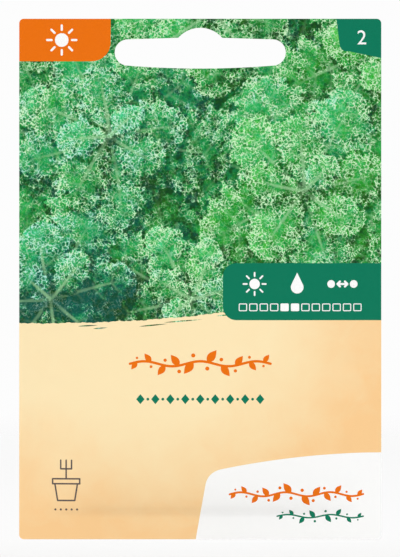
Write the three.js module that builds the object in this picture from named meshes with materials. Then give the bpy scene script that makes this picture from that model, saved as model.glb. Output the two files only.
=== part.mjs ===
// A flat retail seed packet: two sheets of coated paper, heat-sealed together round a pocket of loose
// kale seeds, with a hanging slot cut through the sealed header.
// Millimetres, +Z up. The printed front faces -Y. The origin is the crown of the hanging slot, where a
// peg carries the packet, midway between the two sheets.

import * as THREE from "three";

// Outline of the packet
const WIDTH = 80;
const HEIGHT = 115;
const CORNER_RADIUS = 1;
const CORNER_STEPS = 4;

// Thickness of each paper sheet, and of the seal between them
const PAPER = 0.12;
const SEAL = 0.06;

// Hanging slot: a wide slot with round ends, its long edges slightly bowed, and a domed rise for the peg
const SLOT_BELOW_TOP = 2;
const SLOT_WIDTH = 37.8;
const SLOT_DEPTH = 9;
const SLOT_END_RADIUS = 2.9;
const SLOT_END_DROP = 2.55;
const DOME_WIDTH = 9.7;
const DOME_RISE = 2.2;
const SLOT_END_STEPS = 8;
const SLOT_EDGE_STEPS = 4;
const DOME_STEPS = 8;

// Pocket between the seals
const SIDE_SEAL = 5;
const BOTTOM_SEAL = 6;
const HEADER = 16;
const POCKET_COLUMNS = 18;
const POCKET_ROWS = 16;

// How far each sheet swells from the seal, and where: fullest low down, over the seeds
const FRONT_SWELL = 1.5;
const BACK_SWELL = 1.1;
const SIDE_POWER = 4;
const RISE_POWER = 0.5;
const FALL_POWER = 2.5;

// Seeds in the bottom of the pocket
const SEED_COUNT = 54;
const SEED_DIAMETER = 1.8;
const SEED_SPREAD = 0.07;
const SEED_PITCH = 2.12;
const SEED_CLEARANCE = 0.12;
const HEAP_WIDTH = 46;
const HEAP_TAPER = 3;
const SEED_JITTER = 0.05;
const SEED_SEARCH_STEP = 0.05;

// A plain repeatable random sequence: each number is the last one times a factor, less whole moduli
const RANDOM_SEED = 7;
const RANDOM_FACTOR = 16807;
const RANDOM_MODULUS = 2147483647;

const TOP = SLOT_BELOW_TOP;
const BOTTOM = TOP - HEIGHT;
const POCKET_HALF_WIDTH = WIDTH / 2 - SIDE_SEAL;
const POCKET_BOTTOM = BOTTOM + BOTTOM_SEAL;
const POCKET_TOP = TOP - HEADER;
const POCKET_HEIGHT = POCKET_TOP - POCKET_BOTTOM;

// Materials
const frontPaper = new THREE.MeshStandardMaterial({ color: 0xfee4b3, roughness: 0.5, metalness: 0 });
const backPaper = new THREE.MeshStandardMaterial({ color: 0xfbf1dc, roughness: 0.55, metalness: 0 });
const sealCoat = new THREE.MeshStandardMaterial({ color: 0xf4f1e8, roughness: 0.35, metalness: 0 });
const seedCoat = new THREE.MeshStandardMaterial({ color: 0x4a2f22, roughness: 0.6, metalness: 0 });

// A seeded random number from 0 to 1, the same on every run
let randomState = RANDOM_SEED;
function random() {
  randomState = (randomState * RANDOM_FACTOR) % RANDOM_MODULUS;
  return randomState / RANDOM_MODULUS;
}

function between(low, high) {
  return low + (high - low) * random();
}

// Points of a circle's arc in the X, Z plane, from one angle to another, both ends included
function arc(centreX, centreZ, radius, from, to, steps) {
  const points = [];
  for (let i = 0; i <= steps; i++) {
    const angle = from + ((to - from) * i) / steps;
    points.push(new THREE.Vector2(centreX + radius * Math.cos(angle), centreZ + radius * Math.sin(angle)));
  }
  return points;
}

// A rectangle with rounded corners, anticlockwise from its lower right corner
function packetOutline() {
  const x = WIDTH / 2 - CORNER_RADIUS;
  const low = BOTTOM + CORNER_RADIUS;
  const high = TOP - CORNER_RADIUS;
  const quarter = Math.PI / 2;
  return [
    ...arc(x, low, CORNER_RADIUS, -quarter, 0, CORNER_STEPS),
    ...arc(x, high, CORNER_RADIUS, 0, quarter, CORNER_STEPS),
    ...arc(-x, high, CORNER_RADIUS, quarter, 2 * quarter, CORNER_STEPS),
    ...arc(-x, low, CORNER_RADIUS, 2 * quarter, 3 * quarter, CORNER_STEPS),
  ];
}

// Points between two ends of a shallow bow, the ends left out. Its middle stands off its chord by rise.
function bow(start, end, rise, steps) {
  const points = [];
  for (let i = 1; i < steps; i++) {
    const share = i / steps;
    const point = start.clone().lerp(end, share);
    point.y += 4 * rise * share * (1 - share);
    points.push(point);
  }
  return points;
}

// The hanging slot, anticlockwise from the lower left end of its bottom edge
function slotOutline() {
  const endX = SLOT_WIDTH / 2 - SLOT_END_RADIUS;
  const endZ = -SLOT_END_DROP - SLOT_END_RADIUS;
  const quarter = Math.PI / 2;
  const rightEnd = arc(endX, endZ, SLOT_END_RADIUS, -quarter, quarter, SLOT_END_STEPS);
  const leftEnd = arc(-endX, endZ, SLOT_END_RADIUS, quarter, 3 * quarter, SLOT_END_STEPS);
  const domeRadius = ((DOME_WIDTH / 2) ** 2 + DOME_RISE ** 2) / (2 * DOME_RISE);
  const domeReach = Math.asin(DOME_WIDTH / 2 / domeRadius);
  const dome = arc(0, -domeRadius, domeRadius, quarter - domeReach, quarter + domeReach, DOME_STEPS);
  const bottomBow = endZ - SLOT_END_RADIUS + SLOT_DEPTH;
  return [
    ...bow(leftEnd.at(-1), rightEnd[0], -bottomBow, 2 * SLOT_EDGE_STEPS),
    ...rightEnd,
    ...dome,
    ...leftEnd,
  ];
}

// Share of the full swell at a place in the pocket, 0 on its edges and 1 at its fullest
function swell(x, z) {
  const across = Math.min(1, Math.abs(x) / POCKET_HALF_WIDTH);
  const up = THREE.MathUtils.clamp((z - POCKET_BOTTOM) / POCKET_HEIGHT, 0, 1);
  const fullest = RISE_POWER / (RISE_POWER + FALL_POWER);
  const most = fullest ** RISE_POWER * (1 - fullest) ** FALL_POWER;
  return ((1 - across ** SIDE_POWER) * up ** RISE_POWER * (1 - up) ** FALL_POWER) / most;
}

// The pocket's grid lines: columns closer together near the side seals, rows near the bottom seal
function pocketGrid() {
  const columns = [];
  for (let i = 0; i <= POCKET_COLUMNS; i++) {
    const share = (2 * i) / POCKET_COLUMNS - 1;
    columns.push(POCKET_HALF_WIDTH * Math.sin((share * Math.PI) / 2));
  }
  const rows = [];
  for (let j = 0; j <= POCKET_ROWS; j++) {
    rows.push(POCKET_BOTTOM + POCKET_HEIGHT * (j / POCKET_ROWS) ** 2);
  }
  return { columns, rows };
}

// Indices of the grid's border, anticlockwise, where a point's index is row * (columns + 1) + column
function borderOf(columns, rows) {
  const wide = columns + 1;
  const border = [];
  for (let i = 0; i < columns; i++) {
    border.push(i);
  }
  for (let j = 0; j < rows; j++) {
    border.push(j * wide + columns);
  }
  for (let i = columns; i > 0; i--) {
    border.push(rows * wide + i);
  }
  for (let j = rows; j > 0; j--) {
    border.push(j * wide);
  }
  return border;
}

function isAnticlockwise(a, b, c) {
  return (b.x - a.x) * (c.y - a.y) - (b.y - a.y) * (c.x - a.x) > 0;
}

// The packet's flat plan: the sealed frame round the pocket, with the slot cut out, and the pocket's grid
function packetPlan() {
  const outline = packetOutline();
  const slot = slotOutline();
  const { columns, rows } = pocketGrid();
  const grid = rows.flatMap((z) => columns.map((x) => new THREE.Vector2(x, z)));
  const border = borderOf(POCKET_COLUMNS, POCKET_ROWS);
  const points = [...outline, ...slot, ...grid];
  const firstOfGrid = outline.length + slot.length;

  const pocketEdge = border.map((index) => grid[index]);
  const frame = THREE.ShapeUtils.triangulateShape(outline, [slot, pocketEdge]).map((triangle) => {
    const [a, b, c] = triangle.map((i) => (i < firstOfGrid ? i : firstOfGrid + border[i - firstOfGrid]));
    return isAnticlockwise(points[a], points[b], points[c]) ? [a, b, c] : [a, c, b];
  });

  const pocket = [];
  const wide = POCKET_COLUMNS + 1;
  for (let j = 0; j < POCKET_ROWS; j++) {
    for (let i = 0; i < POCKET_COLUMNS; i++) {
      const a = firstOfGrid + j * wide + i;
      const b = a + 1;
      const c = b + wide;
      const d = a + wide;
      // The diagonal runs up towards the middle on both halves, so that they mirror each other.
      if (i < POCKET_COLUMNS / 2) {
        pocket.push([a, b, c], [a, c, d]);
      } else {
        pocket.push([a, b, d], [b, c, d]);
      }
    }
  }
  return { points, frame, pocket };
}

// A thin closed solid over some of the plan's triangles, between the heights near(x, z) and far(x, z)
// along Y. Walls close it along every edge that only one triangle has.
function layer(points, triangles, near, far) {
  const used = [...new Set(triangles.flat())];
  const placeOf = new Map(used.map((point, i) => [point, i]));
  const positions = [];
  for (const height of [near, far]) {
    for (const i of used) {
      positions.push(points[i].x, height(points[i].x, points[i].y), points[i].y);
    }
  }
  const faces = triangles.map((triangle) => triangle.map((i) => placeOf.get(i)));
  const edges = new Set(faces.flatMap(([a, b, c]) => [`${a} ${b}`, `${b} ${c}`, `${c} ${a}`]));
  const behind = used.length;
  const index = [];
  for (const [a, b, c] of faces) {
    index.push(a, b, c);
    index.push(behind + a, behind + c, behind + b);
  }
  for (const edge of edges) {
    const [a, b] = edge.split(" ").map(Number);
    if (!edges.has(`${b} ${a}`)) {
      index.push(a, behind + a, behind + b);
      index.push(a, behind + b, b);
    }
  }
  const geometry = new THREE.BufferGeometry();
  geometry.setAttribute("position", new THREE.Float32BufferAttribute(positions, 3));
  geometry.setIndex(index);
  geometry.computeVertexNormals();
  return geometry;
}

function namedMesh(name, geometry, material) {
  const mesh = new THREE.Mesh(geometry, material);
  mesh.name = name;
  return mesh;
}

// The front sheet's two faces, and the back sheet's, at a place on the packet
const frontInner = (x, z) => -SEAL / 2 - FRONT_SWELL * swell(x, z);
const frontOuter = (x, z) => frontInner(x, z) - PAPER;
const backInner = (x, z) => SEAL / 2 + BACK_SWELL * swell(x, z);
const backOuter = (x, z) => backInner(x, z) + PAPER;

function sheets(plan) {
  const whole = [...plan.frame, ...plan.pocket];
  return [
    namedMesh("front_sheet", layer(plan.points, whole, frontOuter, frontInner), frontPaper),
    namedMesh("back_sheet", layer(plan.points, whole, backInner, backOuter), backPaper),
  ];
}

function sealLayer(plan) {
  const geometry = layer(plan.points, plan.frame, () => -SEAL / 2, () => SEAL / 2);
  return namedMesh("seal_layer", geometry, sealCoat);
}

// True where a ball of this radius clears both sheets
function seedFits(x, z, radius) {
  const room = radius + SEED_CLEARANCE;
  const middle = (frontInner(x, z) + backInner(x, z)) / 2;
  const sides = [[0, 0], [-radius, 0], [radius, 0], [0, -radius], [0, radius]];
  return sides.every(([dx, dz]) => {
    const front = middle - frontInner(x + dx, z + dz);
    const back = backInner(x + dx, z + dz) - middle;
    return Math.min(front, back) >= room;
  });
}

// Seeds lie in close rows from the lowest place where they fit, each row shorter than the one below
function seeds() {
  const largest = (SEED_DIAMETER / 2) * (1 + SEED_SPREAD);
  const rowPitch = (SEED_PITCH * Math.sqrt(3)) / 2;
  const found = [];
  let z = POCKET_BOTTOM;
  while (!seedFits(0, z, largest)) {
    z += SEED_SEARCH_STEP;
  }
  for (let row = 0; found.length < SEED_COUNT; row++, z += rowPitch) {
    const shift = row % 2 ? SEED_PITCH / 2 : 0;
    const reach = HEAP_WIDTH / 2 - HEAP_TAPER * row;
    const first = shift - SEED_PITCH * Math.floor((reach + shift) / SEED_PITCH);
    for (let x = first; x <= reach && found.length < SEED_COUNT; x += SEED_PITCH) {
      if (seedFits(x, z, largest)) {
        found.push({ x, z });
      }
    }
  }
  return found.map((place, i) => {
    const radius = (SEED_DIAMETER / 2) * between(1 - SEED_SPREAD, 1 + SEED_SPREAD);
    const seed = namedMesh(
      `seed_${String(i + 1).padStart(2, "0")}`,
      new THREE.IcosahedronGeometry(radius, 1),
      seedCoat,
    );
    const x = place.x + between(-SEED_JITTER, SEED_JITTER);
    const z = place.z + between(0, SEED_JITTER);
    seed.position.set(x, (frontInner(x, z) + backInner(x, z)) / 2, z);
    seed.rotation.set(between(0, Math.PI), between(0, Math.PI), between(0, Math.PI));
    return seed;
  });
}

const packet = new THREE.Group();
const plan = packetPlan();
packet.add(...sheets(plan), sealLayer(plan), ...seeds());

export default packet;
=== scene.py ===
# The looks of a hanging paper seed packet: two printed sheets, the seal between them and the seeds
# inside. Plans are drawn in millimetres, x to the right and z up, as someone facing that side of the
# packet sees them. Blender's own lengths are metres.

import math

import bmesh
import bpy
import numpy as np
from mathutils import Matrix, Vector, kdtree, noise
from mathutils.geometry import delaunay_2d_cdt


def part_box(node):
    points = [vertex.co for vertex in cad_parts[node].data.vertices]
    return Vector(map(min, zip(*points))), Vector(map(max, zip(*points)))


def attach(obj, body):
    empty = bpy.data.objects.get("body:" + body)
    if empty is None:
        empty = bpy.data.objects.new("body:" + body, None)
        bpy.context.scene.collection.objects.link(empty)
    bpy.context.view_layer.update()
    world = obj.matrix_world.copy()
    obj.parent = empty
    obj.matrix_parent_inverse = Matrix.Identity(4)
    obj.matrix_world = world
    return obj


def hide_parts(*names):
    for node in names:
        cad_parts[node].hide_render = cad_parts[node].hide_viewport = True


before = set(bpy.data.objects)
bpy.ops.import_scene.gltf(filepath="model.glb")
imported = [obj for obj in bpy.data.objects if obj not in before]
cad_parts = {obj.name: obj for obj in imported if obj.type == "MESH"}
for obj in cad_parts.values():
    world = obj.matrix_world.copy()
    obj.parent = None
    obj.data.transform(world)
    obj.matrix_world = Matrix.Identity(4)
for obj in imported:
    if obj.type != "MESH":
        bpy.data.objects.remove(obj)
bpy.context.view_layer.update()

MM = 0.001

# The packet's measures. Its edges and half the seal's thickness come from the frame, and the others are
# those of the solids
sheet_low, sheet_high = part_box("front_sheet")
RIGHT = sheet_high.x / MM
LEFT = -RIGHT
TOP = sheet_high.z / MM
BOTTOM = sheet_low.z / MM
HALF_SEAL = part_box("seal_layer")[1].y / MM
PAPER = 0.12
CORNER_RADIUS = 1.0

SLOT_WIDTH = 37.8
SLOT_DEPTH = 9.0
SLOT_END_RADIUS = 2.9
SLOT_END_DROP = 2.55
DOME_WIDTH = 9.7
DOME_RISE = 2.2

SIDE_SEAL = 5.0
BOTTOM_SEAL = 6.0
HEADER = 16.0
FRONT_SWELL = 1.5
BACK_SWELL = 1.1
SIDE_POWER = 4.0
RISE_POWER = 0.5
FALL_POWER = 2.5
POCKET_RIGHT = RIGHT - SIDE_SEAL
POCKET_BOTTOM = BOTTOM + BOTTOM_SEAL
POCKET_TOP = TOP - HEADER

# Spacing of the points that carry the picture, of those elsewhere on a sheet's printed face, and of
# those on the other faces. The clearances are their gaps to any line, as shares of the spacing
PICTURE_STEP = 0.27
PLAIN_STEP = 1.1
BACKING_STEP = 1.6
PICTURE_CLEARANCE = 0.4
LINE_CLEARANCE = 0.3
SMALLEST_GAP = 1e-5
SHARP_ANGLE = math.radians(35)

QUARTER = math.pi / 2
TURN = 2 * math.pi


# Plan outlines: each is an array of points, or of points and the edges that join them

def arc(x, z, radius, start, end, steps):
    angles = np.linspace(start, end, steps + 1)
    return np.stack([x + radius * np.cos(angles), z + radius * np.sin(angles)], 1)


def circle(x, z, radius, steps=40):
    return arc(x, z, radius, 0, TURN, steps)[:-1]


def rounded(left, low, right, high, radii=0, steps=10):
    """A rectangle. radii is the radius of its corners, or of each from the lower right, anticlockwise."""
    radii = np.broadcast_to(radii, 4)
    a, b, c, d = radii
    centres = [(right - a, low + a), (right - b, high - b), (left + c, high - c), (left + d, low + d)]
    corners = []
    for i, ((x, z), radius) in enumerate(zip(centres, radii)):
        start = (i - 1) * QUARTER
        corners.append(arc(x, z, radius, start, start + QUARTER, steps if radius else 0))
    return np.concatenate(corners)


def slot_outline():
    end_x = SLOT_WIDTH / 2 - SLOT_END_RADIUS
    end_z = -SLOT_END_DROP - SLOT_END_RADIUS
    right = arc(end_x, end_z, SLOT_END_RADIUS, -QUARTER, QUARTER, 24)
    left = arc(-end_x, end_z, SLOT_END_RADIUS, QUARTER, 3 * QUARTER, 24)
    dome_radius = ((DOME_WIDTH / 2) ** 2 + DOME_RISE**2) / (2 * DOME_RISE)
    reach = math.asin(DOME_WIDTH / 2 / dome_radius)
    dome = arc(0, -dome_radius, dome_radius, QUARTER - reach, QUARTER + reach, 24)
    share = np.linspace(0, 1, 26)[1:-1]
    bow = SLOT_DEPTH + end_z - SLOT_END_RADIUS
    bottom_x = -end_x + 2 * end_x * share
    bottom_z = end_z - SLOT_END_RADIUS - 4 * bow * share * (1 - share)
    return np.concatenate([np.stack([bottom_x, bottom_z], 1), right, dome, left])


OUTLINE = rounded(LEFT, BOTTOM, RIGHT, TOP, CORNER_RADIUS, 8)
SLOT = slot_outline()


def leaf_shape(x, z, length, width, angle, steps=12):
    """A pointed oval from its base at x, z, along angle."""
    share = np.linspace(0, 1, steps + 1)
    half = width / 2 * np.sin(math.pi * share**0.8)
    along = np.concatenate([share, share[-2:0:-1]]) * length
    across = np.concatenate([-half, half[-2:0:-1]])
    cos, sin = math.cos(angle), math.sin(angle)
    return np.stack([x + along * cos - across * sin, z + along * sin + across * cos], 1)


def bar(start, end, width, steps=6):
    """A straight stroke with round ends."""
    (x0, z0), (x1, z1) = start, end
    angle = math.atan2(z1 - z0, x1 - x0)
    near = arc(x0, z0, width / 2, angle + QUARTER, angle + 3 * QUARTER, steps)
    far = arc(x1, z1, width / 2, angle - QUARTER, angle + QUARTER, steps)
    return np.concatenate([near, far])


def strokes(points, width):
    return [bar(a, b, width) for a, b in zip(points[:-1], points[1:])]


def drawing(x, z, size, width, lines):
    """Strokes along lines. Their points, seen from x, z, and their width are shares of a size."""
    placed = [strokes(np.array(line) * size + [x, z], width * size) for line in lines]
    return sum(placed, [])


def drop_shape(x, z, radius, height):
    """A water drop: a circle about x, z drawn out to a point above it."""
    tilt = math.acos(radius / height)
    round_part = arc(x, z, radius, QUARTER + tilt, QUARTER + TURN - tilt, 24)
    return np.concatenate([round_part, [[x, z + height]]])


def sun_shapes(x, z, radius, rays=8):
    """A disc with short rays round it."""
    ends = zip(circle(x, z, 1.5 * radius, rays), circle(x, z, 2.15 * radius, rays))
    return [circle(x, z, radius, 28)] + [bar(near, far, 0.32 * radius) for near, far in ends]


def spacing_shapes(x, z, size):
    """Two plants' places and the distance between them."""
    shaft = [(-0.22, 0), (0.22, 0)]
    left = [(-0.11, 0.11), (-0.22, 0), (-0.11, -0.11)]
    right = [(0.11, 0.11), (0.22, 0), (0.11, -0.11)]
    plants = [circle(x + side * size / 2, z, 0.17 * size) for side in (-1, 1)]
    return plants + drawing(x, z, size, 0.09, [shaft, left, right])


def depth_shapes(x, z, size):
    """A seed below the level of the soil, and an arrow down to it."""
    soil = [(-0.6, 0.1), (0.6, 0.1)]
    shaft = [(0, 0.6), (0, -0.12)]
    head = [(-0.15, 0.04), (0, -0.12), (0.15, 0.04)]
    seed = circle(x, z - 0.42 * size, 0.15 * size)
    return [seed] + drawing(x, z, size, 0.09, [soil, shaft, head])


def sprig(x0, x1, z, size, leaves, wave):
    """A garland: a waved stem, leaves above and below that shrink to its ends, and berries."""
    lean = math.radians(38)

    def stem(share):
        return x0 + (x1 - x0) * share, z + wave * np.sin(TURN * share * leaves / 4)

    shapes = strokes(np.stack(stem(np.linspace(0, 1, 6 * leaves + 1)), 1), 0.1 * size)
    for i in range(leaves):
        middle = (i + 0.5) / leaves
        side = 1 if i % 2 else -1
        outwards = 1 if middle > 0.5 else -1
        scale = size * (1 - 0.45 * abs(2 * middle - 1))
        base_x, base_z = stem(middle)
        angle = side * (QUARTER - outwards * lean)
        shapes.append(leaf_shape(base_x, base_z, 0.62 * scale, 0.34 * scale, angle))
        shapes.append(circle(base_x, base_z - side * 0.27 * scale, 0.085 * scale, 16))
    return shapes


def bead_row(x0, x1, z, size, count):
    """A row of lozenges with a bead between each two."""
    lozenge = size * np.array([(-0.42, 0), (0, -0.5), (0.42, 0), (0, 0.5)])
    places = enumerate(np.linspace(x0, x1, count))
    return [circle(x, z, 0.14 * size, 16) if i % 2 else lozenge + [x, z] for i, x in places]


def number_shape(text, x, z, height):
    """The outline of a plain number, centred on x, z, as points and edges."""
    curve = bpy.data.curves.new("number", "FONT")
    curve.body = text
    curve.resolution_u = 5
    curve.fill_mode = "NONE"
    holder = bpy.data.objects.new("number", curve)
    mesh = holder.to_mesh()
    points = np.array([v.co[:2] for v in mesh.vertices])
    edges = np.array([edge.vertices[:] for edge in mesh.edges])
    holder.to_mesh_clear()
    bpy.data.objects.remove(holder)
    bpy.data.curves.remove(curve)
    middle = (points.min(0) + points.max(0)) / 2
    scale = height / np.ptp(points[:, 1])
    return (points - middle) * scale + [x, z], edges


def as_edges(shape):
    """A shape as points and edges. A plain array of points is one closed loop."""
    if isinstance(shape, tuple):
        return shape
    count = len(shape)
    start = np.arange(count)
    return shape, np.stack([start, (start + 1) % count], 1)


def inside(points, shape):
    """Which points lie inside a shape, by counting the edges to their right."""
    corners, edges = as_edges(shape)
    result = np.zeros(len(points), bool)
    near = np.flatnonzero(((points >= corners.min(0)) & (points <= corners.max(0))).all(1))
    px, pz = points[near].T
    odd = np.zeros(len(near), bool)
    for (ax, az), (bx, bz) in zip(corners[edges[:, 0]], corners[edges[:, 1]]):
        if az == bz:
            continue
        crosses = (az > pz) != (bz > pz)
        odd ^= crosses & (px < ax + (pz - az) * (bx - ax) / (bz - az))
    result[near] = odd
    return result


# The sheets' shape

def swell(x, z):
    """Share of the pocket's full swell at each place, 0 on its edges and 1 at its fullest."""
    across = np.clip(np.abs(x) / POCKET_RIGHT, 0, 1)
    up = np.clip((z - POCKET_BOTTOM) / (POCKET_TOP - POCKET_BOTTOM), 0, 1)
    fullest = RISE_POWER / (RISE_POWER + FALL_POWER)
    most = fullest**RISE_POWER * (1 - fullest) ** FALL_POWER
    return (1 - across**SIDE_POWER) * up**RISE_POWER * (1 - up) ** FALL_POWER / most


# The short creases that run in from the seals: their height, how far they reach, their spacing, and the
# share of their height under the header
PUCKER_HEIGHT = 0.077
PUCKER_REACH = 6.5
PUCKER_LENGTH = 7.0
HEAD_PUCKERS = 0.5


def pucker(x, z):
    """Height of the creases at each place, in millimetres."""
    waver = np.sin(0.21 * x + 1.3) + np.sin(0.17 * z + 0.4)
    from_side = POCKET_RIGHT - np.abs(x)
    from_foot = z - POCKET_BOTTOM
    from_head = POCKET_TOP - z
    inside_pocket = (from_side > 0) & (from_foot > 0) & (from_head > 0)

    def crease(distance, along):
        """A row of creases, -1 to 1, that rise and fade again within their reach of a seal."""
        near = np.clip(distance / PUCKER_REACH, 0, 1)
        fade = 27 / 4 * near * (1 - near) ** 2
        return fade * np.sin(TURN * along / PUCKER_LENGTH + 1.7 * waver)

    total = crease(from_side, z) + crease(from_foot, x) + HEAD_PUCKERS * crease(from_head, x)
    return np.where(inside_pocket, PUCKER_HEIGHT * total * np.sqrt(swell(x, z)), 0)


def grid_points(low, step):
    """Points of a triangular grid, as wide as the packet and from a height up to its top edge."""
    columns = np.arange(LEFT, RIGHT, step)
    rows = np.arange(low, TOP, step * math.sqrt(3) / 2)
    x, z = np.meshgrid(columns, rows)
    x = x + np.where(np.arange(len(rows)) % 2, step / 2, 0)[:, None]
    return np.stack([x.ravel(), z.ravel()], 1)


def point_tree(points):
    """A tree that finds the nearest of the points."""
    tree = kdtree.KDTree(len(points))
    for i, (x, z) in enumerate(points):
        tree.insert((x, z, 0), i)
    tree.balance()
    return tree


def clear_of(points, shapes, gap):
    """The points that keep a gap to every line of the shapes."""
    samples = []
    for shape in shapes:
        corners, edges = as_edges(shape)
        start = corners[edges[:, 0]]
        span = corners[edges[:, 1]] - start
        for a, s in zip(start, span):
            count = max(1, math.ceil(np.hypot(*s) / gap))
            samples.append(a + s * (np.arange(count) / count)[:, None])
    tree = point_tree(np.concatenate(samples))
    keep = [tree.find((x, z, 0))[2] >= gap for x, z in points]
    return points[np.array(keep)]


def triangulate(points, edges, holes):
    """Triangles, anticlockwise, that keep the edges and lie in the packet, outside the holes."""
    corners = [Vector(p) for p in points.tolist()]
    found = delaunay_2d_cdt(corners, edges.tolist(), [], 0, SMALLEST_GAP)
    places = np.array([v[:] for v in found[0]])
    triangles = np.array([f for f in found[2] if len(f) == 3])
    centres = places[triangles].mean(1)
    keep = inside(centres, OUTLINE)
    for hole in holes:
        keep &= ~inside(centres, hole)
    used, triangles = np.unique(triangles[keep], return_inverse=True)
    return places[used], triangles.reshape(-1, 3)


def border_edges(triangles):
    """The edges that only one triangle has, in its direction."""
    edges = np.concatenate([triangles[:, [0, 1]], triangles[:, [1, 2]], triangles[:, [2, 0]]])
    count = triangles.max() + 1
    forward = edges[:, 0] * count + edges[:, 1]
    backward = edges[:, 1] * count + edges[:, 0]
    return edges[~np.isin(forward, backward)]


def divided(shape, step):
    """A shape whose long edges have points along them, so that they follow a curved sheet."""
    corners, edges = as_edges(shape)
    points = corners.tolist()
    joins = []
    for a, b in edges.tolist():
        span = corners[b] - corners[a]
        pieces = max(1, math.ceil(np.hypot(*span) / step))
        chain = [a, *range(len(points), len(points) + pieces - 1), b]
        points += [(corners[a] + span * i / pieces).tolist() for i in range(1, pieces)]
        joins += zip(chain[:-1], chain[1:])
    return np.array(points), np.array(joins)


def plan_face(shapes, extra, holes):
    """A flat triangulation that has the shapes' lines and the extra points in it."""
    parts, edges, count = [], [], 0
    for shape in [OUTLINE, *holes, *shapes]:
        corners, joins = divided(shape, PLAIN_STEP)
        parts.append(corners)
        edges.append(joins + count)
        count += len(corners)
    return triangulate(np.concatenate([*parts, extra]), np.concatenate(edges), holes)


def backing_face(places, border, extra):
    """A plainer triangulation with the same border. Also gives each border point's place in it."""
    rim = np.unique(border)
    joins = np.searchsorted(rim, border)
    back_places, triangles = triangulate(np.concatenate([places[rim], extra]), joins, [SLOT])
    tree = point_tree(back_places)
    twin = {int(i): tree.find((*places[i], 0))[1] for i in rim}
    return back_places, triangles, twin


def add_object(name, data):
    added = bpy.data.objects.new(name, data)
    bpy.context.scene.collection.objects.link(added)
    return added


def add_mesh(name, points, faces):
    """A smooth mesh, as an object."""
    mesh = bpy.data.meshes.new(name)
    mesh.from_pydata(points, [], faces)
    mesh.polygons.foreach_set("use_smooth", [True] * len(faces))
    return add_object(name, mesh)


def thin_solid(name, outer, inner, outer_height, inner_height, faces_front):
    """A sheet from two triangulations that share a border. Its outer face has the first faces.
    Plans are mirrored for a sheet that faces back, so that x still runs to the viewer's right."""
    places, triangles = outer
    back_places, back_triangles, twin = inner
    count = len(places)
    sign = 1 if faces_front else -1

    def lift(plan, height):
        """The points over a plan, in millimetres. height gives how far out they are."""
        x, z = plan.T
        return np.stack([sign * x, -sign * height(sign * x, z), z], 1)

    points = np.concatenate([lift(places, outer_height), lift(back_places, inner_height)]) * MM
    faces = triangles.tolist()
    faces += (count + back_triangles[:, ::-1]).tolist()
    faces += [[b, a, count + twin[a], count + twin[b]] for a, b in border_edges(triangles).tolist()]
    piece = add_mesh(name, points.tolist(), faces)
    piece.data.set_sharp_from_angle(angle=SHARP_ANGLE)
    return piece


def paint(piece, places, triangles, ground, prints):
    """Gives every face a material: on the printed face the ground's and each print's over it in turn,
    and on the rest the bare paper's, which is the first."""
    used = {"bare_paper", ground} | {ink for ink, _ in prints}
    names = [name for name in inks if name in used]
    for name in names:
        piece.data.materials.append(inks[name])
    centres = places[triangles].mean(1)
    printed = np.full(len(triangles), names.index(ground))
    for ink, shapes in prints:
        for shape in shapes:
            printed[inside(centres, shape)] = names.index(ink)
    index = np.zeros(len(piece.data.polygons), int)
    index[: len(triangles)] = printed
    piece.data.polygons.foreach_set("material_index", index)


def set_attributes(piece, look):
    """Gives the mesh's first points the numbers of each attribute of a look, and the rest 0."""
    for name, values in look.items():
        padded = np.zeros(len(piece.data.vertices), np.float32)
        padded[: len(values)] = values
        piece.data.attributes.new(name, "FLOAT", "POINT").data.foreach_set("value", padded)


# The front's leafy picture: rosettes of curly leaves seen from above, painted leaf over leaf

LEAF_TURN = math.radians(137.508)
LIGHT = np.array([-0.64, 0.77])
RANDOM_SEED = 11
LOW_LEAVES = 150
STEM_HALF = 0.45

# Where along a leaf its blade starts, where it is fully wide and where its tip starts, as shares
BLADE_START = 0.1
BLADE_FULL = 0.5
TIP_START = 0.55

# The rim's ruffles, and a finer wave on them: depths are shares of the half width. SIDE_PHASE sets the
# waves of a leaf's two sides apart
RUFFLE_DEPTH = 0.14
RUFFLE_LENGTH = 4.1
CRIMP_DEPTH = 0.07
CRIMP_LENGTH = 1.37
SIDE_PHASE = 1.3

# The shadow that a leaf casts on those below it
SHADOW_REACH = 2.6
SHADOW_SHIFT = 1.2
SHADOW_DEPTH = 0.5

# Light on a leaf: a top leaf's level, what each rank loses, and what the arched form, the ruffles and the
# rosette's heart add or take away
LEAF_LEVEL = 0.56
RANK_SHADE = 0.15
ARCH_LIGHT = 0.22
RUFFLE_LIGHT = 0.15
HEART_SHADE = 0.25

# How far in from a leaf's rim its frills reach, and the ground between the leaves
RIM_WIDTH = 2.2
GROUND_LIGHT = 0.2
GROUND_FOCUS = 0.55

# Half the midrib's width at a leaf's tip, and what it gains to the base
MIDRIB_TIP = 0.15
MIDRIB_GAIN = 0.3

# The shade that deepens towards the picture's lower left
FOOT_SHADE = 0.46
FOOT_SHADE_HEIGHT = 19.0
FOOT_SHADE_REACH = 18.0

# Each rosette's middle, its outermost leaves' length, its number of leaves and its tint, blue to yellow
ROSETTES = [
    (-20.0, -24.0, 31.0, 15, -0.35),
    (23.0, -36.0, 33.0, 16, 0.35),
    (-33.0, -60.0, 27.0, 13, -0.8),
    (3.0, 4.0, 26.0, 12, 0.2),
    (-2.0, -60.0, 24.0, 12, -0.1),
    (41.0, -4.0, 28.0, 13, 0.6),
    (-44.0, 3.0, 26.0, 12, -0.1),
    (40.0, -66.0, 22.0, 11, 0.0),
]


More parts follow.
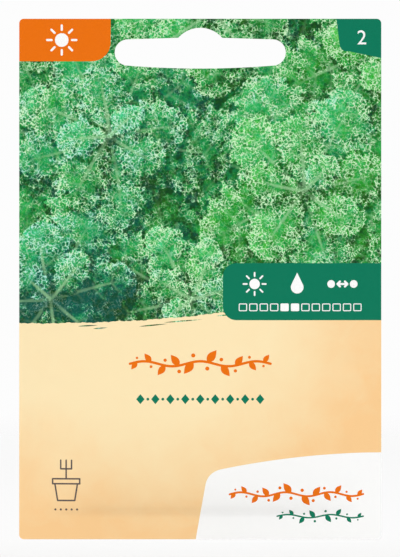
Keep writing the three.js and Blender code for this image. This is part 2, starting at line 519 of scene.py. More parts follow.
def rosette_leaves():
    """Every leaf, the lowest first, as a dict of its place, size and look. A leaf's rank is 0 at the
    heart of its rosette, 1 at the outside and more for the leaves below all rosettes."""
    random = np.random.default_rng(RANDOM_SEED)

    def leaf(x, z, angle, length, rank, tint, stem):
        return dict(
            x=x, z=z, angle=angle, length=length, rank=rank, stem=stem,
            half=length * random.uniform(0.23, 0.3) + 1.0,
            bend=random.uniform(-0.14, 0.14),
            tint=tint + random.uniform(-0.35, 0.35),
            phase=random.uniform(0, TURN),
            tone=random.uniform(-0.12, 0.12),
        )

    leaves = []
    for x, z, reach, count, tint in ROSETTES:
        start = random.uniform(0, TURN)
        for i in range(count):
            rank = (i + 0.5) / count
            length = reach * (0.24 + 0.76 * rank**0.75) * random.uniform(0.9, 1.1)
            angle = start + i * LEAF_TURN + random.uniform(-0.12, 0.12)
            leaves.append(leaf(x, z, angle, length, rank + random.uniform(-0.1, 0.1), tint, STEM_HALF))
    for i in range(LOW_LEAVES):
        x = random.uniform(LEFT, RIGHT)
        z = random.uniform(HORIZON, TOP)
        angle = random.uniform(0, TURN)
        length = random.uniform(14, 22)
        leaves.append(leaf(x, z, angle, length, random.uniform(1.2, 1.5), -0.1, 0.0))
    return sorted(leaves, key=lambda leaf: -leaf["rank"])


def leaf_frame(leaf, x, z):
    """Where points lie on a leaf: along it in millimetres and as a share of its length, across it, the
    half width there, and the distance outside its rim, below 0 inside."""
    dx, dz = x - leaf["x"], z - leaf["z"]
    cos, sin = math.cos(leaf["angle"]), math.sin(leaf["angle"])
    along = dx * cos + dz * sin
    share = along / leaf["length"]
    across = dz * cos - dx * sin + leaf["bend"] * along * share
    blade = np.clip((share - BLADE_START) / (BLADE_FULL - BLADE_START), 0, 1) ** 0.6
    tip = np.sqrt(1 - np.clip((share - TIP_START) / (1 - TIP_START), 0, 1) ** 2)
    side = np.where(across > 0, SIDE_PHASE, 0.0)
    wave = RUFFLE_DEPTH * np.sin(TURN * along / RUFFLE_LENGTH + leaf["phase"] + side)
    wave += CRIMP_DEPTH * np.sin(TURN * along / CRIMP_LENGTH + 2 * (leaf["phase"] + side))
    half = np.maximum(leaf["half"] * blade * tip * (1 + wave), leaf["stem"] * tip)
    outside = np.maximum.reduce([np.abs(across) - half, along - leaf["length"], -along])
    return along, share, across, half, outside


def cast_shadow(leaf, look, x, z, near):
    """Darkens the near points that lie in a leaf's shadow."""
    shift_x, shift_z = -LIGHT * SHADOW_SHIFT
    *_, outside = leaf_frame(leaf, x[near] - shift_x, z[near] - shift_z)
    dark = np.clip(1 - outside / SHADOW_REACH, 0, 1) ** 1.5
    look["leaf_light"][near] *= 1 - SHADOW_DEPTH * dark
    look["leaf_rib"][near] *= 1 - SHADOW_DEPTH * dark


def paint_leaf(leaf, look, x, z, near):
    """Gives the near points that lie on a leaf its looks."""
    frame_of_all = leaf_frame(leaf, x[near], z[near])
    on = frame_of_all[-1] < 0
    here = near[on]
    along, share, across, half, outside = (values[on] for values in frame_of_all)
    direction = np.array([math.cos(leaf["angle"]), math.sin(leaf["angle"])])
    sideways = np.array([-direction[1], direction[0]])
    close = np.exp(outside / RIM_WIDTH)

    fold = TURN * (along - 0.5 * np.abs(across)) / RUFFLE_LENGTH + leaf["phase"]
    ruffle = np.sin(fold + np.where(across > 0, SIDE_PHASE, 0.0)) * (0.25 + 0.75 * close)
    slope = across / np.maximum(half, SMALLEST_GAP)
    arch = slope * (sideways @ LIGHT) + np.clip(2 * share - 1, 0, 1) * (direction @ LIGHT)
    heart = np.clip(1 - share, 0, 1) ** 3
    level = LEAF_LEVEL - RANK_SHADE * leaf["rank"] + leaf["tone"]
    light = level + ARCH_LIGHT * arch + RUFFLE_LIGHT * ruffle - HEART_SHADE * heart

    width = MIDRIB_TIP + MIDRIB_GAIN * (1 - share)
    midrib = np.clip(2.5 * (1.1 - np.abs(across) / width), 0, 1) * np.clip(3 * (0.85 - share), 0, 1)
    veins = 0.5 * np.clip(np.sin(fold), 0, 1) ** 14 * np.clip(1 - 1.6 * close, 0, 1)

    look["leaf_light"][here] = light
    look["leaf_rim"][here] = close
    look["leaf_rib"][here] = np.maximum(midrib, veins) * np.clip(1.7 - leaf["rank"], 0.2, 1)
    look["leaf_tint"][here] = leaf["tint"]
    look["leaf_focus"][here] = np.clip(1.25 - 0.45 * leaf["rank"], 0.55, 1)


def foliage(places):
    """The picture's attributes at each place: light, closeness to a rim, rib, tint and sharpness."""
    x, z = places.T
    look = {name: np.zeros(len(x)) for name in ("leaf_rim", "leaf_rib", "leaf_tint")}
    look["leaf_light"] = np.full(len(x), GROUND_LIGHT)
    look["leaf_focus"] = np.full(len(x), GROUND_FOCUS)
    for leaf in rosette_leaves():
        distance = np.hypot(x - leaf["x"], z - leaf["z"])
        near = np.flatnonzero(distance < leaf["length"] + SHADOW_REACH + 2 * SHADOW_SHIFT)
        cast_shadow(leaf, look, x, z, near)
        paint_leaf(leaf, look, x, z, near)
    low = np.clip(1 - (z - horizon(x)) / FOOT_SHADE_HEIGHT, 0, 1)
    look["leaf_light"] -= FOOT_SHADE * low * np.clip(-x / FOOT_SHADE_REACH, 0, 1)
    return look


# Materials

def srgb(red, green, blue):
    """A colour of 0 to 255 a channel, as Blender's linear one."""
    values = np.array([red, green, blue]) / 255
    linear = np.where(values <= 0.04045, values / 12.92, ((values + 0.055) / 1.055) ** 2.4)
    return (*linear.tolist(), 1.0)


class Nodes:
    """Short calls for building a node tree. Each adds a node and gives one of its outputs. A value is a
    number, a colour, a vector or another node's output."""

    def __init__(self, owner):
        owner.use_nodes = True
        self.tree = owner.node_tree
        self.tree.nodes.clear()

    def set(self, socket, value):
        if isinstance(value, bpy.types.NodeSocket):
            self.tree.links.new(value, socket)
        else:
            socket.default_value = value

    def add(self, kind, values=(), output=0, **settings):
        node = self.tree.nodes.new(kind)
        for key, value in settings.items():
            setattr(node, key, value)
        for key, value in dict(values).items():
            self.set(node.inputs[key], value)
        return node.outputs[output]

    def finish(self, shader, kind="ShaderNodeOutputMaterial"):
        self.set(self.tree.nodes.new(kind).inputs[0], shader)

    def math(self, operation, a, b=0.0, clamp=False):
        return self.add("ShaderNodeMath", enumerate([a, b]), operation=operation, use_clamp=clamp)

    def plus(self, a, b, clamp=False):
        return self.math("ADD", a, b, clamp)

    def minus(self, a, b):
        return self.math("SUBTRACT", a, b)

    def times(self, a, b, clamp=False):
        return self.math("MULTIPLY", a, b, clamp)

    def swing(self, value, depth):
        """A value of 0 to 1 as a swing about 0, depth from end to end."""
        return self.times(self.minus(value, 0.5), depth)

    def vector(self, operation, *values, output=0):
        return self.add("ShaderNodeVectorMath", enumerate(values), output, operation=operation)

    def noise(self, place, scale, detail=2.0, roughness=0.5, distortion=0.0, output=0):
        values = dict(Vector=place, Scale=scale, Detail=detail, Roughness=roughness)
        values["Distortion"] = distortion
        return self.add("ShaderNodeTexNoise", values, output)

    def cells(self, place, scale, feature, output):
        values = dict(Vector=place, Scale=scale)
        return self.add("ShaderNodeTexVoronoi", values, output, feature=feature)

    def ramp(self, value, stops):
        """Colours from a value. Each stop is a place on the scale and a colour's three channels."""
        node = self.tree.nodes.new("ShaderNodeValToRGB")
        self.set(node.inputs[0], value)
        elements = node.color_ramp.elements
        while len(elements) < len(stops):
            elements.new(0.5)
        for element, (position, *colour) in zip(elements, stops):
            element.position = position
            element.color = srgb(*colour)
        return node.outputs[0]

    def mix(self, share, a, b, blend="MIX"):
        values = {0: share, 6: a, 7: b}
        return self.add("ShaderNodeMix", values, 2, data_type="RGBA", blend_type=blend)

    def range(self, value, low, high, to_low=0.0, to_high=1.0):
        """A smooth step between low and high."""
        values = enumerate([value, low, high, to_low, to_high])
        return self.add("ShaderNodeMapRange", values, interpolation_type="SMOOTHSTEP")

    def attribute(self, name):
        return self.add("ShaderNodeAttribute", output="Fac", attribute_name=name)

    def place(self):
        """Object coordinates in millimetres."""
        coordinates = self.add("ShaderNodeTexCoord", output="Object")
        return self.vector("MULTIPLY", coordinates, (1 / MM,) * 3)


def new_material(name):
    material = bpy.data.materials.new(name)
    return material, Nodes(material)


# Coated paper: its gloss, the fibres' number to the millimetre, and their relief in metres
PAPER_ROUGHNESS = 0.37
PAPER_SPECULAR = 0.12
FIBRE_SCALE = 3.2
FIBRE_RELIEF = 0.000012
FIBRE_STRENGTH = 0.6


def paper_finish(nodes, colour, roughness=PAPER_ROUGHNESS, grain=1.0):
    """A coated paper surface under a colour: a fine fibre relief and slightly uneven gloss."""
    place = nodes.place()
    fibres = nodes.noise(place, FIBRE_SCALE, 4.0, 0.6)
    cloudy = nodes.noise(place, 0.35, 3.0, 0.55)
    relief = {"Height": fibres, "Distance": FIBRE_RELIEF * grain, "Strength": FIBRE_STRENGTH}
    values = {
        "Base Color": colour,
        "Roughness": nodes.range(cloudy, 0.3, 0.7, roughness - 0.05, roughness + 0.06),
        "Specular IOR Level": PAPER_SPECULAR,
        "Normal": nodes.add("ShaderNodeBump", relief),
    }
    nodes.finish(nodes.add("ShaderNodeBsdfPrincipled", values))


def flat_ink(name, colour, mottle=0.04):
    """One ink, a little uneven, as solid print is on paper."""
    material, nodes = new_material(name)
    patches = nodes.noise(nodes.place(), 1.1, 3.0, 0.6)
    share = nodes.range(patches, 0.3, 0.75, 0.0, mottle)
    lighter = [min(1.0, channel * 1.25 + 0.02) for channel in colour]
    paper_finish(nodes, nodes.mix(share, colour, lighter))
    return material


def cloudy_coat(name, clouds, dark, light, roughness, grain):
    """A coat of dark and light clouds. clouds are their noise's scale, detail and roughness."""
    material, nodes = new_material(name)
    cloudy = nodes.noise(nodes.place(), *clouds)
    paper_finish(nodes, nodes.ramp(cloudy, [(0.35, *dark), (0.65, *light)]), roughness, grain)
    return material


def bare_paper():
    """The unprinted inside and the cut edges, where the fibres show."""
    return cloudy_coat("bare_paper", (5.0, 4.0, 0.65), (206, 200, 188), (226, 222, 212), 0.6, 1.6)


def seal_coat():
    """A thin, milky heat-seal coat between the sheets."""
    return cloudy_coat("seal_coat", (1.5, 3.0, 0.6), (212, 205, 190), (230, 225, 213), 0.4, 0.6)


# The cream spot's middle, 1 over its radii, and the depths of the slow clouds that bend its rim and of
# the finer wash
WARM_CENTRE = (-14.0, 0.0, -63.5)
WARM_SHRINK = (1 / 60, 0.0, 1 / 52)
WARM_CLOUDS = 0.32
WASH_DEPTH = 0.84


def warm_ground():
    """The lower field's ink, cream that clouds over to peach towards the lower right and the foot."""
    material, nodes = new_material("warm_ground")
    place = nodes.place()
    offset = nodes.vector("MULTIPLY", nodes.vector("SUBTRACT", place, WARM_CENTRE), WARM_SHRINK)
    clouds = nodes.swing(nodes.noise(place, 0.06, 3.0, 0.55), WARM_CLOUDS)
    far = nodes.plus(nodes.vector("LENGTH", offset, output="Value"), clouds)
    share = nodes.range(far, 0.4, 1.02)
    wash = nodes.swing(nodes.noise(place, 0.14, 5.0, 0.62, 0.8), WASH_DEPTH)
    strength = nodes.plus(nodes.times(share, 0.7), 0.3)
    share = nodes.plus(share, nodes.times(wash, strength), clamp=True)
    paper_finish(nodes, nodes.mix(share, srgb(255, 233, 186), srgb(253, 208, 149)))
    return material


def seed_coat():
    """The seeds' dark brown coat, paler along the walls of its pits."""
    material, nodes = new_material("seed_coat")
    place = nodes.place()
    walls = nodes.range(nodes.cells(place, 7.0, "DISTANCE_TO_EDGE", "Distance"), 0.0, 0.12, 0.35, 0.0)
    patches = nodes.noise(place, 0.7, 3.0, 0.6)
    browns = nodes.ramp(patches, [(0.3, 38, 24, 20), (0.7, 86, 54, 40)])
    paper_finish(nodes, nodes.mix(walls, browns, srgb(128, 92, 70)), 0.5, 2.0)
    return material


# The lace of frills on the leaves: its cells to the millimetre, how far they are pushed about, how far
# in from a cell's rim its crest and the slope to its pit reach, and a finer lace's scale and strength
FRILL_SCALE = 1.25
FRILL_PUSH = 0.8
CREST_WIDTH = 0.15
PIT_WIDTH = 0.39
FINE_LACE = 1.6
FINE_STRENGTH = 0.55

# Where the lace shows: in patches, along the leaves' rims and a little everywhere
PATCH_LACE = 0.6
RIM_LACE = 0.85
LEAST_LACE = 0.2

# What lumps, single cells and the pits in them change in the light
LUMP_LIGHT = 0.9
CELL_LIGHT = 0.5
PIT_SHADE = 0.3

# How much a leaf's own tint and the small patches of colour count, and the gain of the whole
TINT_SHARE = 0.55
PATCH_SHARE = 1.4
HUE_GAIN = 1.3

# The leaves' greens, from shade to light
LEAF_GREENS = [
    (0.0, 8, 66, 26),
    (0.16, 14, 112, 48),
    (0.4, 20, 152, 69),
    (0.64, 38, 178, 88),
    (0.9, 90, 210, 128),
]
RIB_COLOUR = srgb(160, 212, 156)


def pushed_about(nodes, place):
    """The place, moved by a slow noise, so that cells laid out by it have wavering walls."""
    wander = nodes.noise(place, 1.5, 2.0, output="Color")
    middle = nodes.vector("SUBTRACT", wander, (0.5, 0.5, 0.5))
    return nodes.vector("ADD", place, nodes.vector("MULTIPLY", middle, (FRILL_PUSH,) * 3))


def frills(nodes, place, scale):
    """The crests between small cells and the pits in them, each 1 at its middle, and a number for each
    cell."""
    gap = nodes.cells(place, scale, "DISTANCE_TO_EDGE", "Distance")
    crest = nodes.range(gap, 0.0, CREST_WIDTH, 1.0, 0.0)
    pit = nodes.range(gap, CREST_WIDTH, PIT_WIDTH)
    number = nodes.add("ShaderNodeSeparateColor", {0: nodes.cells(place, scale, "F1", "Color")})
    return crest, pit, number


def tinted(nodes, greens, cold, warm):
    """Greens that turn bluish where it is cold and yellowish where it is warm."""
    bluish = nodes.mix(1.0, greens, srgb(150, 255, 255), "MULTIPLY")
    yellowish = nodes.mix(1.0, greens, srgb(248, 255, 120), "MULTIPLY")
    greens = nodes.mix(cold, greens, nodes.mix(0.14, bluish, srgb(30, 160, 170)))
    return nodes.mix(warm, greens, nodes.mix(0.18, yellowish, srgb(80, 176, 40)))


def leafy_picture():
    """Curly foliage: the painted leaves give its large shapes, and a lace of frills covers them."""
    material, nodes = new_material("leafy_picture")
    place = nodes.place()
    pushed = pushed_about(nodes, place)
    crest, pit, number = frills(nodes, pushed, FRILL_SCALE)
    fine, _, fine_number = frills(nodes, pushed, FINE_LACE * FRILL_SCALE)

    patches = nodes.range(nodes.noise(place, 0.3, 2.0, 0.6), 0.42, 0.6, 0.0, PATCH_LACE)
    lace = nodes.plus(patches, nodes.times(nodes.attribute("leaf_rim"), RIM_LACE))
    lace = nodes.times(nodes.plus(lace, LEAST_LACE), nodes.attribute("leaf_focus"))

    lumps = nodes.swing(nodes.noise(place, 0.55, 3.0, 0.65), LUMP_LIGHT)
    numbers = nodes.plus(nodes.times(number, 0.6), nodes.times(fine_number, 0.4))
    cell_light = nodes.minus(nodes.swing(numbers, CELL_LIGHT), nodes.times(pit, PIT_SHADE))
    light = nodes.plus(nodes.attribute("leaf_light"), lumps)
    light = nodes.plus(light, nodes.times(cell_light, lace))

    tint = nodes.times(nodes.attribute("leaf_tint"), TINT_SHARE)
    hue = nodes.plus(tint, nodes.swing(nodes.noise(place, 0.16), 1.0))
    hue = nodes.plus(hue, nodes.swing(nodes.noise(place, 0.9, 1.0), PATCH_SHARE))
    cold = nodes.times(hue, -HUE_GAIN, clamp=True)
    warm = nodes.times(hue, HUE_GAIN, clamp=True)
    greens = tinted(nodes, nodes.ramp(light, LEAF_GREENS), cold, warm)

    broken = nodes.range(nodes.noise(place, 2.6, 1.0), 0.34, 0.56, 0.2, 1.3)
    lines = nodes.times(nodes.math("MAXIMUM", crest, nodes.times(fine, FINE_STRENGTH)), broken)
    lit = nodes.range(light, 0.0, 0.5, 0.2, 1.0)
    amount = nodes.range(nodes.times(nodes.times(lines, lit), lace), 0.0, 1.0)
    pale = nodes.mix(cold, srgb(208, 244, 198), srgb(184, 240, 228))
    colour = nodes.mix(amount, greens, pale)
    ribs = nodes.times(nodes.attribute("leaf_rib"), 0.6, clamp=True)
    paper_finish(nodes, nodes.mix(ribs, colour, RIB_COLOUR))
    return material


# The print. Areas that run off a sheet go past its edges, up to the bleed
BLEED_X = RIGHT + 3.0
BLEED_TOP = TOP + 3.0
BLEED_BOTTOM = BOTTOM - 3.0


def below(distance):
    """A height, from its distance below the packet's top edge."""
    return TOP - distance


# The picture's lower edge: its height at the left, its rise to the right, that curve's power, and how
# uneven it is
HORIZON = below(67.3)
HORIZON_RISE = 9.3
HORIZON_POWER = 2.35
BRUSH_ROUGHNESS = 0.06

# Each brush streak's left end, its length and its distance below the picture's edge
BRUSH_STREAKS = [
    (-27.0, 4.5, 0.7),
    (-23.6, 3.2, 1.2),
    (-13.5, 6.5, 1.3),
    (-8.0, 8.5, 1.0),
    (3.5, 5.0, 0.7),
    (21.0, 6.0, 0.8),
]
STREAK_WIDTH = 0.28

PANEL_TOP = below(95.8)
PANEL_DROP = 4.0
PANEL_LEFT = 3.0
BACK_LEFT = LEFT + 5.5
BACK_RIGHT = RIGHT - 5.5


def horizon(x):
    """Height of the picture's lower edge, which is uneven like a brush stroke's."""
    share = np.clip((x + RIGHT) / (2 * RIGHT), 0, 1)
    rough = np.sin(0.6 * x) + np.sin(1.7 * x + 1) + np.sin(3.9 * x + 2) + 0.5 * np.sin(9.1 * x)
    return HORIZON + HORIZON_RISE * share**HORIZON_POWER + BRUSH_ROUGHNESS * rough


def picture_shape():
    """The leafy picture, from its lower edge up past the sheet's edges."""
    x = np.linspace(-BLEED_X, BLEED_X, 300)
    low = np.stack([x, horizon(x)], 1)
    return np.concatenate([low, [[BLEED_X, BLEED_TOP], [-BLEED_X, BLEED_TOP]]])


def brush_streak(start, length, drop):
    """A sliver of the picture below its edge, as a dry brush leaves it."""
    angle = math.atan2(horizon(start + length) - horizon(start), length)
    return leaf_shape(start, horizon(start) - drop, length, STREAK_WIDTH, angle)


def white_panel():
    """The white field at the lower right, with a slanting side, a round corner and a falling top."""
    x = np.linspace(BLEED_X, PANEL_LEFT + 1.4, 40)
    top = PANEL_TOP - PANEL_DROP * ((RIGHT - x) / (RIGHT - PANEL_LEFT)) ** 2
    low_top = PANEL_TOP - PANEL_DROP
    start = np.array([x[-1], top[-1]])
    bend = np.array([PANEL_LEFT - 1.5, low_top - 0.5])
    end = np.array([PANEL_LEFT - 1.9, low_top - 3.4])
    share = np.linspace(0, 1, 12)[1:, None]
    corner = (1 - share) ** 2 * start + 2 * share * (1 - share) * bend + share**2 * end
    foot = [[PANEL_LEFT - 4.0, BOTTOM], [PANEL_LEFT - 4.2, BLEED_BOTTOM], [BLEED_X, BLEED_BOTTOM]]
    return np.concatenate([np.stack([x, top], 1), corner, foot])


def number_tab():
    """A corner tab with a slanting side and foot and a round corner between them."""
    corner = arc(RIGHT - 7.6, below(5.6), 1.6, math.pi + 0.2, 1.5 * math.pi + 0.22, 10)
    end = [[BLEED_X, below(9.3)], [BLEED_X, BLEED_TOP]]
    return np.concatenate([[[RIGHT - 10.3, BLEED_TOP]], corner, end])


def pot_shapes(x, z):
    """A line drawing of a flower pot with a hand fork in it, 6 mm wide and 9 mm high."""
    pot = [(-1.9, 0), (1.9, 0), (2.5, 3.7), (-2.5, 3.7), (-1.9, 0)]
    rim = [(-3.0, 3.7), (3.0, 3.7), (3.0, 4.8), (-3.0, 4.8), (-3.0, 3.7)]
    fork = [(-1.2, 8.9), (-1.2, 7.0), (1.2, 7.0), (1.2, 8.9)]
    shaft = [(0, 4.8), (0, 8.9)]
    return drawing(x, z, 1.0, 0.34, [pot, rim, fork, shaft])


def month_boxes(x, z, cell, height, sown):
    """Twelve small boxes in a row, as outlines, with the months for sowing filled."""
    line = 0.2
    boxes = []
    centres = []
    for i in range(12):
        left = x + i * cell
        right = left + 0.8 * cell
        boxes.append(rounded(left, z, right, z + height, 0.25, 3))
        if i + 1 not in sown:
            centres.append(rounded(left + line, z + line, right - line, z + height - line, 0.1, 3))
    return [("white_ink", boxes), ("green_ink", centres)]


def corner_tabs():
    """An orange tab with a sun at the left, and a green one with a number at the right."""
    tab = rounded(-BLEED_X, below(9.4), LEFT + 20.2, BLEED_TOP, [4.2, 0, 0, 0])
    return [
        ("orange_ink", [tab]),
        ("white_ink", sun_shapes(LEFT + 9.4, below(4.7), radius=1.5)),
        ("green_ink", [number_tab()]),
        ("white_ink", [number_shape("2", RIGHT - 4.3, below(4.1), height=3.1)]),
    ]


def sowing_band():
    """A green band with three signs over a row of months."""
    z = below(58.6)
    return [
        ("green_ink", [rounded(RIGHT - 35.0, below(66.6), BLEED_X, below(54.0), [0, 0, 3.0, 3.0])]),
        ("white_ink", sun_shapes(RIGHT - 28.0, z, radius=1.15)),
        ("white_ink", [drop_shape(RIGHT - 18.6, z - 0.7, radius=1.4, height=3.2)]),
        ("white_ink", spacing_shapes(RIGHT - 8.6, z, size=5.0)),
        *month_boxes(RIGHT - 31.5, below(64.6), cell=2.3, height=1.7, sown=(5, 6)),
    ]


def ornaments():
    """A garland and a row of lozenges, a flower pot over a row of dots, and two smaller garlands."""
    end = RIGHT - 4.0
    dots = [circle(LEFT + 8.0 + 1.2 * i, below(108.4), 0.24, 14) for i in range(5)]
    return [
        ("orange_ink", sprig(-15.5, 15.5, below(76.2), size=5.6, leaves=10, wave=0.55)),
        ("green_ink", bead_row(-13.2, 13.2, below(84.0), size=2.2, count=17)),
        ("grey_ink", pot_shapes(LEFT + 10.4, below(106.4)) + dots),
        ("orange_ink", sprig(RIGHT - 33.5, end, below(105.0), size=4.6, leaves=12, wave=0.45)),
        ("green_ink", sprig(RIGHT - 23.0, end, below(109.9), size=3.4, leaves=8, wave=0.35)),
    ]


def front_prints():
    """What is printed on the front over its warm ground: inks and their shapes, the lowest first."""
    streaks = [brush_streak(*streak) for streak in BRUSH_STREAKS]
    grounds = [("leafy_picture", [picture_shape(), *streaks]), ("white_ink", [white_panel()])]
    return grounds + corner_tabs() + sowing_band() + ornaments()


def calendar(top, rows):
    """Twelve numbered months over rows of bars. Each row is its ink, its first and its last month."""
    cell = (BACK_RIGHT - BACK_LEFT) / 12
    row = 4.6
    half_line = 0.08
    half_bar = 1.1
    inset = 0.9
    head = top - 5.0
    foot = head - row * len(rows)
    starts = [BACK_LEFT + i * cell for i in range(12)]
    numbers = [
        number_shape(str(i + 1), x + cell / 2, (top + head) / 2, height=2.1)
        for i, x in enumerate(starts)
    ]
    prints = [
        ("white_ink", [rounded(BACK_LEFT, foot, BACK_RIGHT, top, 0.6, 4)]),
        ("green_ink", [rounded(BACK_LEFT, head, BACK_RIGHT, top, [0, 0.6, 0.6, 0], 4)]),
        ("white_ink", numbers),
        ("grey_ink", [rounded(x - half_line, foot, x + half_line, head) for x in starts[1:]]),
    ]
    for i, (ink, first, last) in enumerate(rows):
        z = head - (i + 0.5) * row
        start = BACK_LEFT + (first - 1) * cell + inset
        end = BACK_LEFT + last * cell - inset
        prints.append((ink, [rounded(start, z - half_bar, end, z + half_bar, half_bar, 6)]))
    return prints


def sign_boxes(top, side):
    """Four boxes in a row for depth, spacing, water and light, each with a sign over a number."""
    step = side + (BACK_RIGHT - BACK_LEFT - 4 * side) / 3
    starts = [BACK_LEFT + i * step for i in range(4)]
    middles = [left + side / 2 for left in starts]
    z = top - 5.4
    signs = [
        *depth_shapes(middles[0], z, size=4.6),
        *spacing_shapes(middles[1], z, size=6.0),
        drop_shape(middles[2], z - 0.9, radius=1.7, height=3.9),
        *sun_shapes(middles[3], z, radius=1.5),
    ]
    for number, x in zip(["2", "50", "60", "18"], middles):
        signs.append(number_shape(number, x, top - side + 2.4, height=2.2))
    boxes = [rounded(left, top - side, left + side, top, 1.6, 6) for left in starts]
    return [("green_ink", boxes), ("white_ink", signs)]


def back_prints():
    """What is printed on the back over its cream ground."""
    rows = [("orange_ink", 5, 6), ("green_ink", 6, 7), ("leaf_ink", 9, 12)]
    heights = [below(72.0 + 5.2 * i) for i in range(6)]
    return [
        ("green_ink", [rounded(-BLEED_X, below(15.0), BLEED_X, BLEED_TOP)]),
        ("orange_ink", sprig(-20.0, 20.0, below(20.6), size=4.6, leaves=16, wave=0.5)),
        *calendar(below(26.0), rows),
        *sign_boxes(below(50.0), side=14.0),
        ("grey_ink", [rounded(BACK_LEFT, z, BACK_RIGHT, z + 0.16) for z in heights]),
        ("orange_ink", [rounded(-BLEED_X, BLEED_BOTTOM, BLEED_X, BOTTOM + 5.0)]),
    ]


# The sheets and the seal

def sheet_points(lines, step=PLAIN_STEP):
    """Points of a triangular grid over a sheet that keep clear of the lines."""
    return clear_of(grid_points(BOTTOM, step), lines, LINE_CLEARANCE * step)


def front_points(lines):
    """Points over the front, close together in the picture and wider apart below it."""
    fine = grid_points(HORIZON - 1, PICTURE_STEP)
    fine = fine[fine[:, 1] > horizon(fine[:, 0]) - PICTURE_STEP]
    plain = sheet_points(lines)
    plain = plain[plain[:, 1] < horizon(plain[:, 0]) - PLAIN_STEP / 2]
    return np.concatenate([clear_of(fine, lines, PICTURE_CLEARANCE * PICTURE_STEP), plain])


def printed_sheet(name, prints, ground, points, fullness, faces_front):
    """A sheet that swells with the pocket, and the places of its printed face's corners. points gives
    the points to put between that face's lines."""
    shapes = [shape for _, group in prints for shape in group]
    side = 1 if faces_front else -1
    places, triangles = plan_face(shapes, points([OUTLINE, SLOT, *shapes]), [SLOT])
    inner_points = sheet_points([OUTLINE, SLOT], BACKING_STEP)
    inner = backing_face(places, border_edges(triangles), inner_points)

    def face_height(paper):
        """A face's height above the packet's middle, with this much paper under it."""
        return lambda x, z: HALF_SEAL + paper + fullness * swell(x, z) + pucker(side * x, z)

    heights = face_height(PAPER), face_height(0)
    piece = thin_solid(name, (places, triangles), inner, *heights, faces_front)
    paint(piece, places, triangles, ground, prints)
    return piece, places


def seal():
    """The bond between the sheets, round the pocket and in the header."""
    pocket = rounded(-POCKET_RIGHT, POCKET_BOTTOM, POCKET_RIGHT, POCKET_TOP)
    points = sheet_points([OUTLINE, SLOT, pocket], BACKING_STEP)
    places, triangles = plan_face([], points, [SLOT, pocket])
    same = {i: i for i in range(len(places))}
    piece = thin_solid(
        "seal_bond",
        (places, triangles),
        (places, triangles, same),
        lambda x, z: np.full(len(x), HALF_SEAL),
        lambda x, z: np.full(len(x), -HALF_SEAL),
        True,
    )
    piece.data.materials.append(seal_coat())
    return piece


# The seeds. Depths and heights are shares of a seed's radius
SEED_BASE = 0.97
RIDGE_SCALE = 5.5
RIDGE_HEIGHT = 0.05
LUMP_SCALE = 1.3
LUMP_HEIGHT = 0.02
SCAR_EDGE = 0.93
SCAR_DEPTH = 1.6


def seed_shape(radius, random):
    """One round seed with a finely pitted coat and a small scar."""
    bm = bmesh.new()
    bmesh.ops.create_icosphere(bm, subdivisions=3, radius=1)
    offset = Vector(random.uniform(-50, 50, 3))
    scar = Vector(random.normal(size=3)).normalized()
    for vert in bm.verts:
        ridge = abs(noise.noise(vert.co * RIDGE_SCALE + offset))
        lump = noise.noise(vert.co * LUMP_SCALE + offset)
        dent = max(0.0, vert.co.dot(scar) - SCAR_EDGE) * SCAR_DEPTH
        vert.co *= radius * (SEED_BASE + RIDGE_HEIGHT * ridge + LUMP_HEIGHT * lump - dent)
    return bm


def seeds():
    """All the seeds as one piece, each where its solid lies."""
    random = np.random.default_rng(3)
    nodes = sorted(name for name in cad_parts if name.startswith("seed_"))
    points, faces = [], []
    for node in nodes:
        low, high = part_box(node)
        centre = (low + high) / 2
        bm = seed_shape((high.x - low.x) / 2, random)
        start = len(points)
        points += [v.co + centre for v in bm.verts]
        faces += [[start + v.index for v in f.verts] for f in bm.faces]
        bm.free()
    piece = add_mesh("kale_seeds", points, faces)
    piece.data.materials.append(seed_coat())
    return piece, nodes


# Camera, light and floor. The packet's edges in the photo are in pixels
PHOTO_WIDTH = 400
PHOTO_HEIGHT = 557
PACKET_LEFT = 19.25
PACKET_RIGHT = 381.25
PACKET_TOP = 19.5
PACKET_BOTTOM = 538.5
LENS = 200.0
SENSOR = 36.0

# The surround's light, how bright it looks, and the lamps: each one's place, size and radiance
AMBIENT = 0.45
SURROUND = 0.98
LAMPS = {
    "above": ((0, 0, 1.5), 3.0, 1.92),
    "front_left": ((-0.8, -0.6, 0.35), 1.0, 0.56),
    "front_right": ((0.8, -0.6, 0.25), 1.0, 0.42),
    "back_left": ((-0.8, 0.6, 0.35), 1.0, 0.24),
    "back_right": ((0.8, 0.6, 0.35), 1.0, 0.36),
}
FLOOR_TONE = 0.62
FLOOR_RADIUS = 900.0
FLOOR_DROP = 10.0


def add_camera():
    """A camera square to the front, with the packet where it is in the photo."""
    pixel = 2 * RIGHT / (PACKET_RIGHT - PACKET_LEFT)
    data = bpy.data.cameras.new("camera")
    data.lens = LENS
    data.sensor_width = SENSOR
    data.clip_start = 0.01
    data.clip_end = 50
    camera = add_object("camera", data)
    distance = LENS * pixel * PHOTO_HEIGHT / SENSOR
    x = (PHOTO_WIDTH - PACKET_LEFT - PACKET_RIGHT) / 2 * pixel
    z = (TOP + BOTTOM) / 2 + (PACKET_TOP + PACKET_BOTTOM - PHOTO_HEIGHT) / 2 * pixel
    camera.location = (x * MM, -distance * MM, z * MM)
    camera.rotation_euler = (QUARTER, 0, 0)
    bpy.context.scene.camera = camera


def softbox(name, place, size, radiance):
    """A square lamp that faces the packet. Its power follows from its size and its radiance."""
    data = bpy.data.lights.new(name, "AREA")
    data.shape = "SQUARE"
    data.size = size
    data.energy = radiance * math.pi * size * size
    light = add_object(name, data)
    light.location = place
    aim = Vector((0, 0, (TOP + BOTTOM) / 2 * MM)) - light.location
    light.rotation_euler = aim.to_track_quat("-Z", "Y").to_euler()


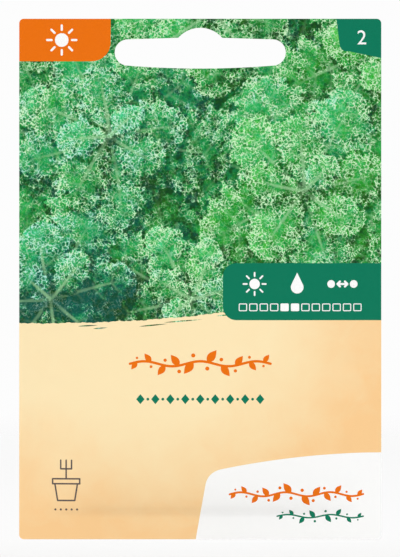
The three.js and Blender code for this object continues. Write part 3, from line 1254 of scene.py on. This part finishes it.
def add_floor():
    """A pale round floor that fades out towards its rim."""
    rim = [(x, y, 0) for x, y in circle(0, 0, FLOOR_RADIUS * MM, 96)]
    floor = add_mesh("floor", rim, [range(len(rim))])
    floor.location.z = (BOTTOM - FLOOR_DROP) * MM
    material, nodes = new_material("floor")
    shader = nodes.add("ShaderNodeBsdfDiffuse", {"Color": (FLOOR_TONE, FLOOR_TONE, FLOOR_TONE, 1)})
    clear = nodes.add("ShaderNodeBsdfTransparent")
    radius = nodes.vector("LENGTH", nodes.place(), output="Value")
    share = nodes.range(radius, FLOOR_RADIUS / 3, FLOOR_RADIUS)
    nodes.finish(nodes.add("ShaderNodeMixShader", enumerate([share, shader, clear])))
    floor.data.materials.append(material)


def add_world():
    """A nearly white surround. It gives less light than it shows, so that the lamps count."""
    world = bpy.data.worlds.new("studio")
    bpy.context.scene.world = world
    nodes = Nodes(world)
    seen = nodes.add("ShaderNodeLightPath", output="Is Camera Ray")
    strength = nodes.plus(nodes.times(seen, SURROUND - AMBIENT), AMBIENT)
    background = nodes.add("ShaderNodeBackground", {"Color": (1, 1, 1, 1), "Strength": strength})
    nodes.finish(background, "ShaderNodeOutputWorld")


materials = [
    bare_paper(),
    warm_ground(),
    leafy_picture(),
    flat_ink("green_ink", srgb(3, 121, 90)),
    flat_ink("orange_ink", srgb(238, 114, 6)),
    flat_ink("white_ink", srgb(254, 254, 253), 0.02),
    flat_ink("grey_ink", srgb(96, 86, 84)),
    flat_ink("leaf_ink", srgb(104, 172, 84)),
    flat_ink("cream_ink", srgb(253, 240, 214), 0.05),
]
inks = {material.name: material for material in materials}

front, front_places = printed_sheet(
    "front_sheet_printed", front_prints(), "warm_ground", front_points, FRONT_SWELL, True
)
set_attributes(front, foliage(front_places))
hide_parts("front_sheet")
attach(front, "root")

back, _ = printed_sheet("back_sheet_printed", back_prints(), "cream_ink", sheet_points, BACK_SWELL, False)
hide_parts("back_sheet")
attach(back, "root")

bond = seal()
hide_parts("seal_layer")
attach(bond, "root")

filling, seed_nodes = seeds()
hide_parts(*seed_nodes)
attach(filling, "root")

add_camera()
add_world()
for lamp, values in LAMPS.items():
    softbox(lamp, *values)
add_floor()
bpy.context.scene.view_settings.view_transform = "Standard"
